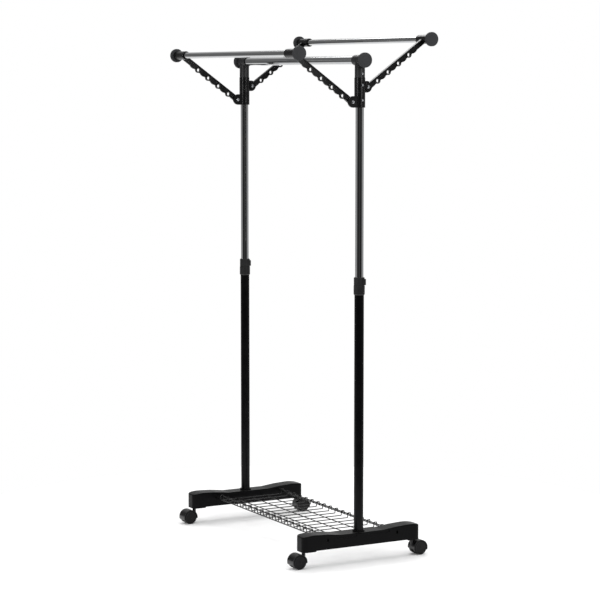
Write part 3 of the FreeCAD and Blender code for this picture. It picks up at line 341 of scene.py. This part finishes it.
# %% Zinc plate
zinc, tree, shader = new_finish("barrel_zinc_plate")
where = add(tree, "ShaderNodeTexCoord").outputs["Object"]
tumble = add(tree, "ShaderNodeTexNoise", {"Vector": where, "Scale": per_mm(1.4), "Detail": 3.0})
tint = add(tree, "ShaderNodeValToRGB", {0: tumble.outputs["Fac"]},
           stops=[(0.3, linear("#b4b8bd")), (0.7, linear("#d2d4d6"))])
gloss = add(tree, "ShaderNodeMapRange", {0: tumble.outputs["Fac"], "To Min": 0.22, "To Max": 0.42})
dings = add(tree, "ShaderNodeBump", {"Height": tumble.outputs["Fac"], "Strength": 0.25, "Distance": 0.0001})
tree.links.new(tint.outputs["Color"], shader.inputs["Base Color"])
tree.links.new(gloss.outputs[0], shader.inputs["Roughness"])
tree.links.new(dings.outputs["Normal"], shader.inputs["Normal"])
shader.inputs["Metallic"].default_value = 1.0
print(zinc.name)

# %% [markdown]
# ** Black coats on steel.** The lower posts are powder coated: paint dust melted in an oven, which
# flows into a skin with a slight orange peel about a millimetre and a half across. The shelf wire
# is dipped instead and comes out smoother, with runs a few millimetres long. Both start from the
# same recipe: a dark paint, a peel for the bump, patches that dull it, a pale tone on the faces
# that look up which is partly settled dust and partly a painted sheen of light on the tops, and
# edges rubbed a little paler. The Bevel node finds the edges: it blends the normals of the faces
# within a radius, so wherever its answer leaves the true normal, an edge is near. The same answer
# rounds the shading of the edge, as the mould or the paint does on the real part.


# %% Paint and moulding recipe
EDGE_RADIUS = 0.0010        # real edges are rounded by about 0.4 mm; 1 mm lets them show
EDGE_STARTS = 0.97          # agreement of the two normals, as a cosine, where wear begins
EDGE_FULL = 0.80
EDGE_WEAR = 0.30            # share of the rubbed colour on the sharpest edge
DUST_AND_SHEEN_STARTS = 0.5           # how far up a face must look before dust and painted sheen pale it
# pale grey for faces that look up: settled dust and a painted sheen of light on the tops
DUST_AND_PAINTED_SHEEN = "#8a8a88"


def dark_skin(name, dark, light, grain, depth, gloss, dust_and_top_sheen, sheen=0.5, rubbed="#3a3a3b"):
    """Dark, non-metal skin.
    dark, light: the two colours that the surface drifts between; grain: size of its texture in mm;
    depth: height of that texture in mm; gloss: roughness from its cleanest to its dullest patch;
    dust_and_top_sheen: how much pale tone goes on the faces that look up, partly settled dust and
    partly a painted sheen of light falling on the tops; sheen: strength of its mirror part,
    0.5 for plain plastic, less where a fine texture traps the light; rubbed: colour of worn edges."""
    material, tree, shader = new_finish(name)
    where = add(tree, "ShaderNodeTexCoord").outputs["Object"]
    drift = add(tree, "ShaderNodeTexNoise", {"Vector": where, "Scale": per_mm(38.0), "Detail": 4.0})
    peel = add(tree, "ShaderNodeTexNoise", {
        "Vector": where, "Scale": per_mm(grain), "Detail": 2.0, "Roughness": 0.55})
    tone = add(tree, "ShaderNodeValToRGB", {0: drift.outputs["Fac"]},
               stops=[(0.32, linear(dark)), (0.72, linear(light))])
    shape = add(tree, "ShaderNodeNewGeometry")
    rounded = add(tree, "ShaderNodeBevel", {"Radius": EDGE_RADIUS}, samples=4)
    agree = add(tree, "ShaderNodeVectorMath", {0: rounded.outputs[0], 1: shape.outputs["Normal"]},
                operation="DOT_PRODUCT")
    edge = add(tree, "ShaderNodeMapRange", {
        0: agree.outputs["Value"], "From Min": EDGE_STARTS, "From Max": EDGE_FULL, "To Max": EDGE_WEAR})
    worn = add(tree, "ShaderNodeMix", {
        0: edge.outputs[0], MIX_A: tone.outputs["Color"], MIX_B: linear(rubbed)}, data_type="RGBA")
    # Faces that look up are paled towards a light grey: partly settled dust, partly a painted sheen standing in
    # for light falling on the tops.
    upward = add(tree, "ShaderNodeSeparateXYZ", {0: shape.outputs["Normal"]})
    dust_and_sheen_on_tops = add(tree, "ShaderNodeMapRange", {
        0: upward.outputs["Z"], "From Min": DUST_AND_SHEEN_STARTS, "From Max": 1.0, "To Max": dust_and_top_sheen},
        interpolation_type="SMOOTHSTEP")
    dust_and_sheen_patches = add(tree, "ShaderNodeMath", {
        0: dust_and_sheen_on_tops.outputs[0], 1: drift.outputs["Fac"]}, operation="MULTIPLY")
    dusty_and_sheened = add(tree, "ShaderNodeMix", {
        0: dust_and_sheen_patches.outputs[0], MIX_A: worn.outputs[MIX_OUT], MIX_B: linear(DUST_AND_PAINTED_SHEEN)}, data_type="RGBA")
    dull = add(tree, "ShaderNodeMapRange", {
        0: drift.outputs["Fac"], "From Min": 0.3, "From Max": 0.7, "To Min": gloss[0], "To Max": gloss[1]})
    bump = add(tree, "ShaderNodeBump", {
        "Height": peel.outputs["Fac"], "Strength": 0.6, "Distance": depth / 1000.0,
        "Normal": rounded.outputs[0]})
    tree.links.new(dusty_and_sheened.outputs[MIX_OUT], shader.inputs["Base Color"])
    tree.links.new(dull.outputs[0], shader.inputs["Roughness"])
    tree.links.new(bump.outputs["Normal"], shader.inputs["Normal"])
    shader.inputs["Specular IOR Level"].default_value = sheen
    return material


powder_coat = dark_skin(
    "powder_coat_satin_black", "#040405", "#070708", 1.5, 0.04, (0.26, 0.34), 0.03, sheen=0.15)
wire_coat = dark_skin(
    "dipped_wire_coat_black", "#070708", "#0c0c0d", 3.0, 0.03, (0.26, 0.36), 0.05, sheen=0.40)
print(powder_coat.name, wire_coat.name)

# %% [markdown]
# **Moulded plastics.** Eight mouldings, one recipe, different moulds. Hinge rings, arms and rail
# sockets are glass-filled nylon from a polished mould, almost piano black with soft highlights.
# Feet come from a lightly sparked mould, satin. Castor hoods are glossier, castor wheels are
# tougher and get scuffed. Collars and tees are a fine satin. The end caps come from a coarse
# sparked mould that scatters light, so the same black pigment reads as charcoal. Plugs and grip
# rings, which stay inside the tubes, are left in the plastic's natural grey.

# %% Moulded plastics
nylon = dark_skin("glass_filled_nylon_black", "#060607", "#0a0a0b", 0.8, 0.006, (0.22, 0.30), 0.03)
foot_plastic = dark_skin(
    "polypropylene_satin_black", "#050506", "#080809", 0.7, 0.012, (0.30, 0.38), 0.06, sheen=0.08)
hood_plastic = dark_skin("abs_hood_black", "#08080a", "#0c0c0d", 0.9, 0.010, (0.24, 0.32), 0.05, sheen=0.40)
wheel_plastic = dark_skin("castor_nylon_black", "#070708", "#0c0c0d", 1.1, 0.02, (0.36, 0.50), 0.05, sheen=0.22)
satin_moulding = dark_skin(
    "fine_satin_moulding_black", "#19191a", "#202021", 0.7, 0.015, (0.34, 0.44), 0.04, 0.35, "#454546")
tee_moulding = dark_skin(
    "tee_moulding_dark_grey", "#1e1e1f", "#262627", 0.7, 0.015, (0.32, 0.42), 0.04, 0.40, "#505051")
charcoal = dark_skin(
    "spark_textured_charcoal", "#2c2d2f", "#323335", 0.6, 0.035, (0.60, 0.72), 0.05, 0.30, "#6a6b6c")
inner_grey = dark_skin(
    "natural_grey_moulding", "#7d7e80", "#88898b", 1.0, 0.02, (0.45, 0.55), 0.02, rubbed="#a0a0a0")
print(len(bpy.data.materials), "materials so far")

# %% [markdown]
# ## Dressing the parts
#
# Each part names the finish it takes in the record. Two of those finishes split up here: chrome,
# because its draw lines run along the tube and tubes run both ways, and charcoal plastic: collars
# and tees get a smoother, darker copy of it than the end caps.

# %% Give every part its finish
FINISHES = {
    "black_powder_coated_steel": powder_coat, "black_coated_wire": wire_coat,
    "satin_black_plastic": foot_plastic, "castor_wheel_plastic": wheel_plastic,
    "black_hood_plastic": hood_plastic, "zinc_plated_steel": zinc, "charcoal_plastic": charcoal,
    "grey_inner_plastic": inner_grey, "gloss_black_plastic": nylon}
SMOOTHER = {"collar": satin_moulding, "tee": tee_moulding}    # second word of the part's name
for part in frame["record"]["subparts"]:
    name = part["node"]
    finish = FINISHES.get(part["material_slot"], chrome_rails if name.endswith("_rail") else chrome_posts)
    if finish is charcoal and not name.endswith("_cap"):
        finish = SMOOTHER[name.split("_")[1]]
    mesh = nodes[name].data
    mesh.materials.clear()
    mesh.materials.append(finish)
